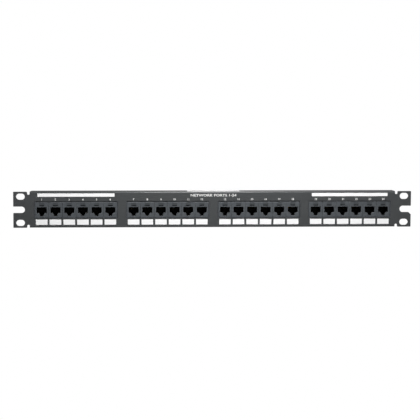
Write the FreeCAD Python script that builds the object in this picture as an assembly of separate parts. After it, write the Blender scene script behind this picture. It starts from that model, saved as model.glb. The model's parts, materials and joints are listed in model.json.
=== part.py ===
"""A 24-port rack patch panel: a folded steel front panel with four six-port modules.

Each module is a bezel, six jack housings with their contact carriers, fixed leads and
spring contacts, a circuit board, six punch-down blocks and the screws that clamp it up.

Frame, in millimetres: +X to the right, +Y to the rear, +Z up. The origin is the centre
of the four rack holes on the rear face of the ears, which is the plane that meets the rack.
"""

import FreeCAD, Part

import math
import os

Vector = FreeCAD.Vector

# ---- Driving dimensions -------------------------------------------------------------

# Count and pitch of the ports
MODULES = 4
PORTS = 6
PORT_PITCH = 16.51

# Folded steel front panel
SHEET = 1.2
BEND_INSIDE = 0.6
FLANGE_DEPTH = 13.0
FLANGE_TAPER = 2.1
WINDOW_CORNER = 0.8
WINDOW_GAP = 8.96
END_MARGIN = 4.76
EAR_WIDTH = 19.7
EAR_CORNER = 0.6
RELIEF_WIDTH = 2.9
RELIEF_DEPTH = 3.7
RELIEF_FLARE = 0.9

# Rack interface
RACK_HOLE_SPACING = 31.75
RACK_HOLE_INSET = 8.75
RACK_HOLE_HEIGHT = 7.5
RACK_HOLE_LENGTH = 10.2
RACK_SLOT_HEIGHT = 7.8
RACK_SLOT_REACH = 13.9
RACK_SLOT_CORNER = 0.7
RACK_SLOT_CHAMFER = 2.8

# Vertical layout of the front, from the top edge down
TOP_MARGIN = 2.1
GROUP_LABEL_HEIGHT = 4.0
NUMBER_BAND = 5.35
LABEL_GAP = 1.2
PORT_LABEL_HEIGHT = 6.45
BOTTOM_MARGIN = 3.5

# Labels
LABEL_THICKNESS = 0.15
LABEL_CORNER = 0.35
PORT_LABEL_SPACE = 2.5
GROUP_LABEL_WIDTH = 92.6
FLANGE_LABEL_WIDTH = 63.2
FLANGE_LABEL_DEPTH = 6.2
FLANGE_LABEL_SETBACK = 0.5
WIRING_LABEL_HEIGHT = 2.2
WIRING_LABEL_SPACE = 0.6

# Bezel that frames the six jacks in the window
WINDOW_PLAY = 0.15
BEZEL_SIDE_RAIL = 1.05
BEZEL_TOP_RAIL = 1.25
BEZEL_BOTTOM_RAIL = 0.45
BEZEL_SETBACK = 0.15
BEZEL_RAIL_SETBACK = 0.6
BEZEL_CHAMFER = 0.3
BEZEL_FLANGE = 1.5
BEZEL_FLANGE_THICKNESS = 1.0
BEZEL_DEPTH = 2.0
JACK_PLAY = 0.12

# Jack housing
JACK_FACE_HEIGHT = 18.8
JACK_FACE_SETBACK = 0.5
JACK_SPACE = 0.1
JACK_EDGE = 0.35
JACK_SHOULDER = 0.7
JACK_SHOULDER_THICKNESS = 1.6
JACK_BODY_INSET = 0.5
OPENING_DROP = 5.95
OPENING_WIDTH = 11.9
OPENING_HEIGHT = 7.0
OPENING_LEAD_IN = 0.15
LATCH_TOP_WIDTH = 7.1
LATCH_WIDTH = 4.2
LATCH_TAPER = 2.0
LATCH_HEIGHT = 3.8
CAVITY_DEPTH = 12.5
CAVITY_WALL = 1.2
LEAD_ROOM = 1.9
MARK_WIDTH = 6.2
MARK_HEIGHT = 3.9
MARK_GAP = 1.3
MARK_DEPTH = 0.25
SLOT_WIDTH = 6.0
SLOT_HEIGHT = 1.2
SLOT_DEPTH = 1.6
PEG_RADIUS = 1.1
PEG_OFFSET = 5.0
PEG_DROP = 2.6
PEG_LENGTH = 1.4
PEG_PLAY = 0.1

# Contacts, eight to a jack
CONTACTS = 8
CONTACT_PITCH = 1.016
CONTACT_WIDTH = 0.46
CONTACT_THICKNESS = 0.34
CONTACT_BEND = 0.44
CONTACT_TIP_CLEARANCE = 0.4
CONTACT_SLOPE = 28.0
CONTACT_RISE = 0.6
CONTACT_SETBACK = 4.85
CONTACT_GAP = 0.06
LEAD_ROW_OFFSET = 1.27
LEAD_OVERHANG = 0.8
LEAD_HOLE_PLAY = 0.14

# Contact carrier
CARRIER_HEIGHT = 2.2
CARRIER_SIDE = 0.35
CARRIER_SETBACK = 3.85
CARRIER_PLAY = 0.08
GROOVE_PLAY = 0.06
COMB_TOOTH = 0.34
COMB_DEPTH = 1.6
COMB_DROP = 5.2
COMB_CLEARANCE = 0.3

# Circuit board
BOARD_THICKNESS = 1.6
BOARD_GAP = 4.4
BOARD_CORNER = 1.0

# Punch-down blocks, three to a row and two rows to a module
IDC_PITCH = 3.81
IDC_SLOT = 1.2
IDC_BASE = 4.0
IDC_SLOT_DEPTH = 7.0
IDC_TIP = 1.2
IDC_TALL_TIP = 1.1
IDC_TIP_FLAT = 0.6
IDC_HEIGHT = 9.5
IDC_LEAD_ROOM = 1.2
IDC_BLOCK_SPACE = 0.5
FORK_WIDTH = 2.8
FORK_THICKNESS = 0.5
FORK_GAP = 0.3
FORK_MOUTH = 1.0
FORK_MOUTH_DEPTH = 1.6
FORK_SETBACK = 2.0
FORK_FOOT = 0.4
FORK_PLAY = 0.1
FORK_TAIL = 0.6
FORK_OVERHANG = 0.8
FORK_HOLE_PLAY = 0.12
FORK_CLEARANCE = 1.3

# Screws and standoffs, four to a module
STANDOFF_FLATS = 5.0
STANDOFF_BORE_DEPTH = 8.0
STANDOFF_CLEARANCE = 1.22
SCREW_RADIUS = 1.45
SCREW_PLAY = 0.05
SCREW_HOLE_PLAY = 0.2
SCREW_LENGTH = 7.0
SCREW_HEAD_RADIUS = 2.6
SCREW_HEAD_HEIGHT = 1.9
SCREW_HEAD_EDGE = 0.5
SCREW_CROSS_LENGTH = 3.0
SCREW_CROSS_WIDTH = 0.6
SCREW_CROSS_DEPTH = 1.1
SCREW_SIDE_MARGIN = 0.5
SCREW_EDGE_MARGIN = 1.0

# ---- Places worked out from the sizes above -----------------------------------------

CUT = 1.0  # how far a cutting tool runs past the surface that it cuts
TOUCHING = 1e-6  # two places closer than this are the same place

FRONT_Y = -SHEET
BEND_OUTSIDE = SHEET + BEND_INSIDE

# Across: the jack row sets the bezel, the window, the panel and the ears
JACK_ROW = PORTS * PORT_PITCH
BEZEL_WIDTH = JACK_ROW + 2 * (JACK_PLAY + BEZEL_SIDE_RAIL)
WINDOW_WIDTH = BEZEL_WIDTH + 2 * WINDOW_PLAY

IDC_BLOCK_WIDTH = CONTACTS * IDC_PITCH
IDC_ROW = 3 * IDC_BLOCK_WIDTH + 2 * IDC_BLOCK_SPACE
SCREW_ZONE = 2 * SCREW_HEAD_RADIUS + SCREW_SIDE_MARGIN + SCREW_EDGE_MARGIN
BOARD_WIDTH = max(IDC_ROW, JACK_ROW - SCREW_ZONE) + 2 * SCREW_ZONE
MODULE_PITCH = max(WINDOW_WIDTH + WINDOW_GAP, BOARD_WIDTH + BOARD_GAP)

BODY_WIDTH = (MODULES - 1) * MODULE_PITCH + WINDOW_WIDTH + 2 * END_MARGIN
PANEL_WIDTH = BODY_WIDTH + 2 * EAR_WIDTH
RACK_HOLE_X = PANEL_WIDTH / 2 - RACK_HOLE_INSET

# Up: the rows of the front add up to the panel's height
BEZEL_HEIGHT = BEZEL_BOTTOM_RAIL + JACK_FACE_HEIGHT + 2 * JACK_PLAY + BEZEL_TOP_RAIL
WINDOW_HEIGHT = BEZEL_HEIGHT + 2 * WINDOW_PLAY
PANEL_HEIGHT = (
    TOP_MARGIN + GROUP_LABEL_HEIGHT + NUMBER_BAND + WINDOW_HEIGHT
    + LABEL_GAP + PORT_LABEL_HEIGHT + BOTTOM_MARGIN
)
TOP_Z = PANEL_HEIGHT / 2
GROUP_LABEL_Z = TOP_Z - TOP_MARGIN - GROUP_LABEL_HEIGHT / 2
WINDOW_Z = TOP_Z - TOP_MARGIN - GROUP_LABEL_HEIGHT - NUMBER_BAND - WINDOW_HEIGHT / 2
PORT_LABEL_Z = -TOP_Z + BOTTOM_MARGIN + PORT_LABEL_HEIGHT / 2

# The opening of each jack, whose floor is where the latch channel starts
FACE_TOP = WINDOW_Z + BEZEL_HEIGHT / 2 - BEZEL_TOP_RAIL - JACK_PLAY
FACE_LOW = FACE_TOP - JACK_FACE_HEIGHT
CEILING_Z = FACE_TOP - OPENING_DROP
FLOOR_Z = CEILING_Z - OPENING_HEIGHT
LATCH_Z = FLOOR_Z - LATCH_HEIGHT

# Back: the face, the cavity, the room for the leads, then the board
BEZEL_FRONT_Y = FRONT_Y + BEZEL_SETBACK
FACE_Y = FRONT_Y + JACK_FACE_SETBACK
CAVITY_Y = FACE_Y + CAVITY_DEPTH
LEAD_ROOM_Y = CAVITY_Y + CAVITY_WALL
BOARD_Y = LEAD_ROOM_Y + LEAD_ROOM
BOARD_REAR_Y = BOARD_Y + BOARD_THICKNESS
PIVOT_Y = FACE_Y + CONTACT_SETBACK
CARRIER_Y = FACE_Y + CARRIER_SETBACK

# Board: its screws clear the bezel, and its forks clear the jacks in front of it
JACK_REACH = max(FACE_TOP, -FACE_LOW) - JACK_BODY_INSET
IDC_ROW_OFFSET = max(
    JACK_REACH + FORK_CLEARANCE + FORK_THICKNESS / 2,
    LEAD_ROW_OFFSET + IDC_LEAD_ROOM + WIRING_LABEL_HEIGHT + 2 * WIRING_LABEL_SPACE
    + IDC_HEIGHT / 2,
)
BEZEL_REACH = abs(WINDOW_Z) + WINDOW_HEIGHT / 2 + BEZEL_FLANGE
SCREW_Z = BEZEL_REACH + STANDOFF_CLEARANCE + STANDOFF_FLATS / 2
BOARD_HEIGHT = 2 * (SCREW_Z + SCREW_HEAD_RADIUS + SCREW_EDGE_MARGIN)

# Contacts: the fixed lead runs over the ceiling, turns down and ends at the pivot, and the
# spring contact is short enough to clear the cavity's rear wall when it is pushed up level
LEAD_Z = CEILING_Z + CONTACT_RISE
PIVOT_Z = LEAD_Z - 2 * CONTACT_BEND
LEAD_DROP_Y = LEAD_ROOM_Y + CONTACT_THICKNESS
CONTACT_LENGTH = CAVITY_Y - CONTACT_TIP_CLEARANCE - PIVOT_Y
IDC_REAR_Y = BOARD_REAR_Y + IDC_BASE + IDC_SLOT_DEPTH


def centred(count, pitch):
    """Places of a row of count things about zero, pitch apart."""
    return [(i - (count - 1) / 2) * pitch for i in range(count)]


MODULE_X = centred(MODULES, MODULE_PITCH)
PORT_X = [m + p for m in MODULE_X for p in centred(PORTS, PORT_PITCH)]
CONTACT_X = centred(CONTACTS, CONTACT_PITCH)
BLOCK_PLACES = [
    (x, side * IDC_ROW_OFFSET)
    for side in (1, -1)
    for x in centred(3, IDC_BLOCK_WIDTH + IDC_BLOCK_SPACE)
]
SLOT_X = centred(CONTACTS, IDC_PITCH)
SCREW_X = BOARD_WIDTH / 2 - SCREW_EDGE_MARGIN - SCREW_HEAD_RADIUS
SCREW_PLACES = [(sx * SCREW_X, sz * SCREW_Z) for sx in (-1, 1) for sz in (-1, 1)]


# ---- Shapes that the pieces are made from -------------------------------------------

def box(x0, x1, y0, y1, z0, z1):
    return Part.makeBox(x1 - x0, y1 - y0, z1 - z0, Vector(x0, y0, z0))


def prism(points, direction):
    """A flat polygon of 3-D points, pushed along direction."""
    return Part.Face(Part.makePolygon(points + points[:1])).extrude(direction)


def prism_x(points_yz, x0, x1):
    return prism([Vector(x0, y, z) for y, z in points_yz], Vector(x1 - x0, 0, 0))


def prism_y(points_xz, y0, y1):
    return prism([Vector(x, y0, z) for x, z in points_xz], Vector(0, y1 - y0, 0))


def prism_z(points_xy, z0, z1):
    return prism([Vector(x, y, z0) for x, y in points_xy], Vector(0, 0, z1 - z0))


def rod(x, z, radius, y0, y1):
    return Part.makeCylinder(radius, y1 - y0, Vector(x, y0, z), Vector(0, 1, 0))


def rounded_wire(x, z, width, height, radius, y):
    """A rectangle with round corners in the plane at y, as a closed wire."""
    edges = []
    corners = [(1, -1, 270), (1, 1, 0), (-1, 1, 90), (-1, -1, 180)]
    centres = [
        Vector(x + sx * (width / 2 - radius), y, z + sz * (height / 2 - radius))
        for sx, sz, _ in corners
    ]

    def on_corner(i, degrees):
        a = math.radians(degrees)
        return centres[i] + Vector(radius * math.cos(a), 0, radius * math.sin(a))

    for i, (_, _, start) in enumerate(corners):
        first, middle, last = (on_corner(i, start + d) for d in (0, 45, 90))
        edges.append(Part.Arc(first, middle, last).toShape())
        after = (i + 1) % len(corners)
        following = on_corner(after, corners[after][2])
        if last.distanceToPoint(following) > TOUCHING:
            edges.append(Part.makeLine(last, following))
    return Part.Wire(Part.__sortEdges__(edges))


def rounded_block(x, z, width, height, radius, y0, y1):
    face = Part.Face(rounded_wire(x, z, width, height, radius, y0))
    return face.extrude(Vector(0, y1 - y0, 0))


def moved(shape, x=0.0, y=0.0, z=0.0):
    copy = shape.copy()
    copy.translate(Vector(x, y, z))
    return copy


def fused(shapes):
    return shapes[0].fuse(shapes[1:]) if len(shapes) > 1 else shapes[0]


def union(shapes):
    """A fused solid with the seams between its blocks cleaned away."""
    return fused(shapes).removeSplitter()


def chamfered(shape, size, chosen):
    return shape.makeChamfer(size, [e for e in shape.Edges if chosen(e)])


def same(a, b):
    return abs(a - b) < TOUCHING


def on_plane_y(edge, y):
    return all(same(v.Y, y) for v in edge.Vertexes)


# ---- Front panel --------------------------------------------------------------------

def channel():
    """The folded middle of the panel, as its section pushed across."""
    x = -BODY_WIDTH / 2
    rear = FRONT_Y + FLANGE_DEPTH
    inner = TOP_Z - SHEET

    def at(y, z):
        return Vector(x, y, z)

    def bend(y, z, radius, side):
        """A quarter turn about (y, z), from the flange to the face."""
        mid = radius * math.sqrt(0.5)
        return Part.Arc(
            at(y, z + side * radius), at(y - mid, z + side * mid), at(y - radius, z)
        ).toShape()

    centre_y = FRONT_Y + BEND_OUTSIDE
    centre_z = TOP_Z - BEND_OUTSIDE
    edges = []
    for side in (1, -1):
        edges += [
            Part.makeLine(at(rear, side * TOP_Z), at(centre_y, side * TOP_Z)),
            bend(centre_y, side * centre_z, BEND_OUTSIDE, side),
            Part.makeLine(at(rear, side * TOP_Z), at(rear, side * inner)),
            Part.makeLine(at(rear, side * inner), at(centre_y, side * inner)),
            bend(centre_y, side * centre_z, BEND_INSIDE, side),
        ]
    for y in (FRONT_Y, 0.0):
        edges.append(Part.makeLine(at(y, -centre_z), at(y, centre_z)))
    section = Part.Face(Part.Wire(Part.__sortEdges__(edges)))
    folded = section.extrude(Vector(BODY_WIDTH, 0, 0))
    half = BODY_WIDTH / 2
    tapers = [
        prism_z([(side * half, centre_y), (side * (half + CUT), centre_y),
                 (side * (half + CUT), rear + CUT), (side * (half - FLANGE_TAPER), rear + CUT),
                 (side * (half - FLANGE_TAPER), rear)], -TOP_Z - CUT, TOP_Z + CUT)
        for side in (1, -1)
    ]
    return folded.cut(tapers)


def ear(side):
    """A flat ear with bend reliefs, two oval holes and a slot open to its edge."""
    inside, outside = BODY_WIDTH / 2, PANEL_WIDTH / 2
    tool_y = (FRONT_Y - CUT, CUT)
    plate = box(inside, outside, FRONT_Y, 0, -TOP_Z, TOP_Z)
    tools = []
    for up in (1, -1):
        relief_x = inside + RELIEF_WIDTH / 2
        floor = TOP_Z - RELIEF_DEPTH + RELIEF_WIDTH / 2
        flare = inside + RELIEF_WIDTH
        tools += [
            prism_y(
                [(inside, up * floor), (flare, up * floor), (flare, up * (TOP_Z - RELIEF_FLARE)),
                 (flare + RELIEF_FLARE, up * TOP_Z), (flare + RELIEF_FLARE, up * (TOP_Z + CUT)),
                 (inside, up * (TOP_Z + CUT))],
                *tool_y,
            ),
            rod(relief_x, up * floor, RELIEF_WIDTH / 2, *tool_y),
            rounded_block(RACK_HOLE_X, up * RACK_HOLE_SPACING / 2, RACK_HOLE_LENGTH,
                          RACK_HOLE_HEIGHT, RACK_HOLE_HEIGHT / 2, *tool_y),
        ]
    slot_radius = RACK_SLOT_HEIGHT / 2
    slot_end = outside - RACK_SLOT_REACH + slot_radius
    tools += [
        box(slot_end, outside + CUT, *tool_y, -slot_radius, slot_radius),
        rod(slot_end, 0, slot_radius, *tool_y),
    ]
    plate = plate.cut(tools)

    def outer_corner(edge, z):
        return all(same(v.X, outside) and same(abs(v.Z), z) for v in edge.Vertexes)

    plate = plate.makeFillet(EAR_CORNER, [e for e in plate.Edges if outer_corner(e, TOP_Z)])
    mouth = [e for e in plate.Edges if outer_corner(e, slot_radius)]
    lower = [e for e in mouth if e.Vertexes[0].Z < 0]
    if side > 0:
        plate = plate.makeChamfer(RACK_SLOT_CHAMFER, lower)
        mouth = [e for e in plate.Edges if outer_corner(e, slot_radius)]
    plate = plate.makeFillet(RACK_SLOT_CORNER, mouth)
    return plate if side > 0 else plate.mirror(Vector(0, 0, 0), Vector(1, 0, 0))


def front_panel():
    """The ears keep their own rear faces, which are what meets the rack."""
    windows = [
        rounded_block(x, WINDOW_Z, WINDOW_WIDTH, WINDOW_HEIGHT, WINDOW_CORNER,
                      FRONT_Y - CUT, CUT)
        for x in MODULE_X
    ]
    return channel().cut(windows).fuse([ear(1), ear(-1)])


# ---- Bezel --------------------------------------------------------------------------

def bezel():
    """A frame in the window, flanged behind the sheet.

    Its side rails stand almost level with the sheet. Its top and bottom rails lie deeper.
    """
    half = JACK_ROW / 2 + JACK_PLAY
    low = FACE_LOW - JACK_PLAY
    high = FACE_TOP + JACK_PLAY
    rail_y = FRONT_Y + BEZEL_RAIL_SETBACK
    rail_corner = WINDOW_CORNER - WINDOW_PLAY
    frame = rounded_block(0, WINDOW_Z, BEZEL_WIDTH, BEZEL_HEIGHT, rail_corner,
                          BEZEL_FRONT_Y, BEZEL_DEPTH)
    flange = rounded_block(0, WINDOW_Z, WINDOW_WIDTH + 2 * BEZEL_FLANGE,
                           WINDOW_HEIGHT + 2 * BEZEL_FLANGE, WINDOW_CORNER,
                           0, BEZEL_FLANGE_THICKNESS)
    inside = box(-half, half, BEZEL_FRONT_Y - CUT, BEZEL_DEPTH + CUT, low, high)
    reach = BEZEL_HEIGHT / 2 + CUT
    above = box(-half, half, BEZEL_FRONT_Y - CUT, rail_y, WINDOW_Z - reach, WINDOW_Z + reach)
    ring = union([frame, flange]).cut([inside, above])

    def inner_front(edge):
        return on_plane_y(edge, BEZEL_FRONT_Y) and all(
            same(abs(v.X), half) for v in edge.Vertexes
        )

    return chamfered(ring, BEZEL_CHAMFER, inner_front)


# ---- Jack housing -------------------------------------------------------------------

def opening_outline(grow):
    """The mouth of a jack: a wide slot for the plug and a narrowing channel for its latch."""
    half, top, low = OPENING_WIDTH / 2 + grow, CEILING_Z + grow, FLOOR_Z - grow
    latch_top, latch = LATCH_TOP_WIDTH / 2 + grow, LATCH_WIDTH / 2 + grow
    right = [(half, top), (half, low), (latch_top, low),
             (latch, FLOOR_Z - LATCH_TAPER), (latch, LATCH_Z - grow)]
    return right + [(-x, z) for x, z in reversed(right)]


def lead_in():
    """The bevel round the mouth, as a loft from just before the face to just behind it."""
    wires = []
    for y, grow in ((FACE_Y - OPENING_LEAD_IN, 2 * OPENING_LEAD_IN),
                    (FACE_Y + OPENING_LEAD_IN, 0.0)):
        points = [Vector(x, y, z) for x, z in opening_outline(grow)]
        wires.append(Part.makePolygon(points + points[:1]))
    return Part.makeLoft(wires, True, True)


def jack_housing():
    half = PORT_PITCH / 2 - JACK_SPACE / 2
    shoulder_y = BEZEL_DEPTH + JACK_SHOULDER_THICKNESS
    face = box(-half, half, FACE_Y, BEZEL_DEPTH, FACE_LOW, FACE_TOP)
    face = chamfered(face, JACK_EDGE, lambda e: on_plane_y(e, FACE_Y))
    shoulder = box(-half, half, BEZEL_DEPTH, shoulder_y,
                   FACE_LOW - JACK_SHOULDER, FACE_TOP + JACK_SHOULDER)
    body = box(-half + JACK_BODY_INSET, half - JACK_BODY_INSET, shoulder_y, BOARD_Y,
               FACE_LOW + JACK_BODY_INSET, FACE_TOP - JACK_BODY_INSET)
    peg_z = FLOOR_Z - PEG_DROP
    pegs = [rod(x, peg_z, PEG_RADIUS, BOARD_Y, BOARD_Y + PEG_LENGTH)
            for x in (-PEG_OFFSET, PEG_OFFSET)]
    solid = union([face, shoulder, body] + pegs)

    carrier_half = carrier_width() / 2 + CARRIER_PLAY
    mark_low = CEILING_Z + MARK_GAP
    cuts = [
        lead_in(),
        prism_y(opening_outline(0.0), FACE_Y - CUT, CAVITY_Y),
        box(-carrier_half, carrier_half, CARRIER_Y - CARRIER_PLAY, BOARD_Y + CUT,
            CEILING_Z - CARRIER_PLAY, CEILING_Z + CARRIER_HEIGHT + CARRIER_PLAY),
        box(-carrier_half, carrier_half, LEAD_ROOM_Y, BOARD_Y + CUT,
            -LEAD_ROW_OFFSET - CONTACT_WIDTH, CEILING_Z),
        box(-MARK_WIDTH / 2, MARK_WIDTH / 2, FACE_Y - CUT, FACE_Y + MARK_DEPTH,
            mark_low, mark_low + MARK_HEIGHT),
        box(-SLOT_WIDTH / 2, SLOT_WIDTH / 2, FACE_Y - CUT, FACE_Y + SLOT_DEPTH,
            mark_low, mark_low + SLOT_HEIGHT),
    ]
    return solid.cut(cuts)


# ---- Contact carrier, leads and spring contacts -------------------------------------

def carrier_width():
    return CONTACTS * CONTACT_PITCH + 2 * CARRIER_SIDE


def contact_carrier():
    """The insert over the cavity: eight grooves for the leads and a comb for the contacts."""
    half = carrier_width() / 2
    groove = CONTACT_WIDTH / 2 + GROOVE_PLAY
    groove_top = LEAD_Z + CONTACT_THICKNESS / 2 + GROOVE_PLAY
    outline = [(half, CEILING_Z), (half, CEILING_Z + CARRIER_HEIGHT),
               (-half, CEILING_Z + CARRIER_HEIGHT), (-half, CEILING_Z)]
    for x in CONTACT_X:
        outline += [(x - groove, CEILING_Z), (x - groove, groove_top),
                    (x + groove, groove_top), (x + groove, CEILING_Z)]
    bar = prism_y(outline, CARRIER_Y, LEAD_ROOM_Y - CARRIER_PLAY)
    comb_y = CAVITY_Y - COMB_CLEARANCE
    teeth = [
        box(x - COMB_TOOTH / 2, x + COMB_TOOTH / 2, comb_y - COMB_DEPTH, comb_y,
            CEILING_Z - COMB_DROP, CEILING_Z)
        for x in centred(CONTACTS + 1, CONTACT_PITCH)
    ]
    return union([bar] + teeth)


def fixed_lead(row_z):
    """One lead: a tail through the board, a run over the ceiling and a half turn down."""
    half = CONTACT_THICKNESS / 2
    y_bend = PIVOT_Y - half - CONTACT_GAP
    centre_z = LEAD_Z - CONTACT_BEND
    tail_y = BOARD_REAR_Y + LEAD_OVERHANG
    outer, inner = CONTACT_BEND + half, CONTACT_BEND - half
    down = 1 if row_z < LEAD_Z else -1
    near, far = LEAD_DROP_Y - half, LEAD_DROP_Y + half

    def at(y, z):
        return Vector(-CONTACT_WIDTH / 2, y, z)

    def turn(radius):
        return Part.Arc(
            at(y_bend, centre_z + radius), at(y_bend - radius, centre_z),
            at(y_bend, centre_z - radius),
        ).toShape()

    corners = [
        at(y_bend, centre_z + outer), at(far, LEAD_Z + half),
        at(far, row_z + down * half), at(tail_y, row_z + down * half),
        at(tail_y, row_z - down * half), at(near, row_z - down * half),
        at(near, LEAD_Z - half), at(y_bend, centre_z + inner),
    ]
    edges = [Part.makeLine(a, b) for a, b in zip(corners, corners[1:])]
    edges += [turn(outer), turn(inner)]
    edges.append(Part.makeLine(at(y_bend, centre_z - inner), at(y_bend, centre_z - outer)))
    outline = Part.Face(Part.Wire(Part.__sortEdges__(edges)))
    return outline.extrude(Vector(CONTACT_WIDTH, 0, 0))


def lead_rows():
    """Which row of board holes each of the eight leads goes to."""
    return [LEAD_ROW_OFFSET if i % 2 else -LEAD_ROW_OFFSET for i in range(CONTACTS)]


def jack_leads():
    return [moved(fixed_lead(z), x) for x, z in zip(CONTACT_X, lead_rows())]


def spring_contact():
    """A straight arm that turns about its round front end."""
    half = CONTACT_THICKNESS / 2
    slope = math.radians(CONTACT_SLOPE)
    along = Vector(0, math.cos(slope), -math.sin(slope))
    across = Vector(0, math.sin(slope), math.cos(slope))
    pivot = Vector(-CONTACT_WIDTH / 2, PIVOT_Y, PIVOT_Z)
    top, bottom = pivot + across * half, pivot - across * half
    tip = along * CONTACT_LENGTH
    round_end = Part.Arc(bottom, pivot - along * half, top).toShape()
    lines = [Part.makeLine(top, top + tip), Part.makeLine(top + tip, bottom + tip),
             Part.makeLine(bottom + tip, bottom)]
    outline = Part.Face(Part.Wire(Part.__sortEdges__([round_end] + lines)))
    return outline.extrude(Vector(CONTACT_WIDTH, 0, 0))


# ---- Circuit board ------------------------------------------------------------------

def circuit_board():
    """One module's board, drilled for its leads, forks, pegs and screws."""
    plate = rounded_block(0, 0, BOARD_WIDTH, BOARD_HEIGHT, BOARD_CORNER, BOARD_Y, BOARD_REAR_Y)
    ends = (BOARD_Y - CUT, BOARD_REAR_Y + CUT)
    lead_radius = math.hypot(CONTACT_WIDTH, CONTACT_THICKNESS) / 2 + LEAD_HOLE_PLAY
    fork_radius = math.hypot(FORK_TAIL, FORK_THICKNESS) / 2 + FORK_HOLE_PLAY
    holes = []
    for port in centred(PORTS, PORT_PITCH):
        holes += [rod(port + x, z, lead_radius, *ends) for x, z in zip(CONTACT_X, lead_rows())]
        holes += [rod(port + x, FLOOR_Z - PEG_DROP, PEG_RADIUS + PEG_PLAY, *ends)
                  for x in (-PEG_OFFSET, PEG_OFFSET)]
    for block_x, block_z in BLOCK_PLACES:
        holes += [rod(block_x + x, block_z, fork_radius, *ends) for x in SLOT_X]
    holes += [rod(x, z, SCREW_RADIUS + SCREW_HOLE_PLAY, *ends) for x, z in SCREW_PLACES]
    return plate.cut(holes)


# ---- Punch-down blocks and their forks ----------------------------------------------

def idc_block():
    """A comb of nine teeth. Teeth at the ends and between pairs stand taller than the rest."""
    half = IDC_BLOCK_WIDTH / 2
    base_y = BOARD_REAR_Y + IDC_BASE
    outline = [(-half, BOARD_REAR_Y)]
    edges = [-half] + [x + s * IDC_SLOT / 2 for x in SLOT_X for s in (-1, 1)] + [half]
    for tooth in range(CONTACTS + 1):
        left, right = edges[2 * tooth], edges[2 * tooth + 1]
        rise = IDC_TIP + (IDC_TALL_TIP if tooth % 2 == 0 else 0.0)
        middle = (left + right) / 2
        flat = IDC_TIP_FLAT / 2
        if tooth > 0:
            outline.append((left, base_y))
        outline += [(left, IDC_REAR_Y), (middle - flat, IDC_REAR_Y + rise),
                    (middle + flat, IDC_REAR_Y + rise), (right, IDC_REAR_Y)]
        if tooth < CONTACTS:
            outline.append((right, base_y))
    outline.append((half, BOARD_REAR_Y))
    comb = prism_z(outline, -IDC_HEIGHT / 2, IDC_HEIGHT / 2)
    reach = FORK_WIDTH / 2 + FORK_PLAY
    deep = FORK_THICKNESS / 2 + FORK_PLAY
    pockets = [
        box(x - reach, x + reach, BOARD_REAR_Y - CUT, IDC_REAR_Y - FORK_SETBACK + FORK_PLAY,
            -deep, deep)
        for x in SLOT_X
    ]
    return comb.cut(pockets)


def idc_fork():
    """A flat blade with a V mouth, a narrow gap that bites the wire, and a tail."""
    half, tail, gap, mouth = FORK_WIDTH / 2, FORK_TAIL / 2, FORK_GAP / 2, FORK_MOUTH / 2
    tip_y = IDC_REAR_Y - FORK_SETBACK
    foot_y = BOARD_REAR_Y + FORK_FOOT
    gap_y = BOARD_REAR_Y + IDC_BASE
    right = [(tail, BOARD_Y - FORK_OVERHANG), (tail, foot_y), (half, foot_y), (half, tip_y),
             (mouth, tip_y), (gap, tip_y - FORK_MOUTH_DEPTH), (gap, gap_y)]
    outline = right + [(-x, y) for x, y in reversed(right)]
    return prism_z(outline, -FORK_THICKNESS / 2, FORK_THICKNESS / 2)


def block_forks():
    return [moved(idc_fork(), x) for x in SLOT_X]


# ---- Screws and standoffs -----------------------------------------------------------

def standoff():
    """A hexagonal post from the sheet to the board, with a blind threaded bore."""
    radius = STANDOFF_FLATS / 2 / math.cos(math.pi / 6)
    corners = [(radius * math.cos(math.radians(a)), radius * math.sin(math.radians(a)))
               for a in range(0, 360, 60)]
    bore = rod(0, 0, SCREW_RADIUS + SCREW_PLAY, BOARD_Y - STANDOFF_BORE_DEPTH, BOARD_Y + CUT)
    return prism_y(corners, 0, BOARD_Y).cut(bore)


def module_screw():
    head_y = BOARD_REAR_Y + SCREW_HEAD_HEIGHT
    head = rod(0, 0, SCREW_HEAD_RADIUS, BOARD_REAR_Y, head_y)
    head = head.makeFillet(SCREW_HEAD_EDGE, [e for e in head.Edges
                                             if e.Closed and on_plane_y(e, head_y)])
    shank = rod(0, 0, SCREW_RADIUS, BOARD_REAR_Y - SCREW_LENGTH, BOARD_REAR_Y)
    reach, wide = SCREW_CROSS_LENGTH / 2, SCREW_CROSS_WIDTH / 2
    cross = [box(-a, a, head_y - SCREW_CROSS_DEPTH, head_y + CUT, -b, b)
             for a, b in ((reach, wide), (wide, reach))]
    return head.fuse(shank).cut(cross)


# ---- Labels -------------------------------------------------------------------------

def stuck_on_front(x, z, width, height):
    return rounded_block(x, z, width, height, LABEL_CORNER,
                         FRONT_Y - LABEL_THICKNESS, FRONT_Y)


def port_labels():
    width = PORT_PITCH - PORT_LABEL_SPACE
    return [stuck_on_front(x, PORT_LABEL_Z, width, PORT_LABEL_HEIGHT) for x in PORT_X]


def group_labels():
    return [stuck_on_front(x, GROUP_LABEL_Z, GROUP_LABEL_WIDTH, GROUP_LABEL_HEIGHT)
            for x in (MODULE_X[0], MODULE_X[-1])]


def flange_label():
    """A plain label on the top flange, over the middle of the panel."""
    front = FRONT_Y + BEND_OUTSIDE + FLANGE_LABEL_SETBACK
    return [box(-FLANGE_LABEL_WIDTH / 2, FLANGE_LABEL_WIDTH / 2, front,
                front + FLANGE_LABEL_DEPTH, TOP_Z, TOP_Z + LABEL_THICKNESS)]


def wiring_labels():
    """Colour-code strips on the boards, one beside each row of punch-down blocks."""
    z = IDC_ROW_OFFSET - IDC_HEIGHT / 2 - WIRING_LABEL_SPACE - WIRING_LABEL_HEIGHT / 2
    return [
        rounded_block(x, side * z, IDC_ROW, WIRING_LABEL_HEIGHT, LABEL_CORNER,
                      BOARD_REAR_Y, BOARD_REAR_Y + LABEL_THICKNESS)
        for x in MODULE_X
        for side in (1, -1)
    ]


# ---- Nodes --------------------------------------------------------------------------

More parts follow.
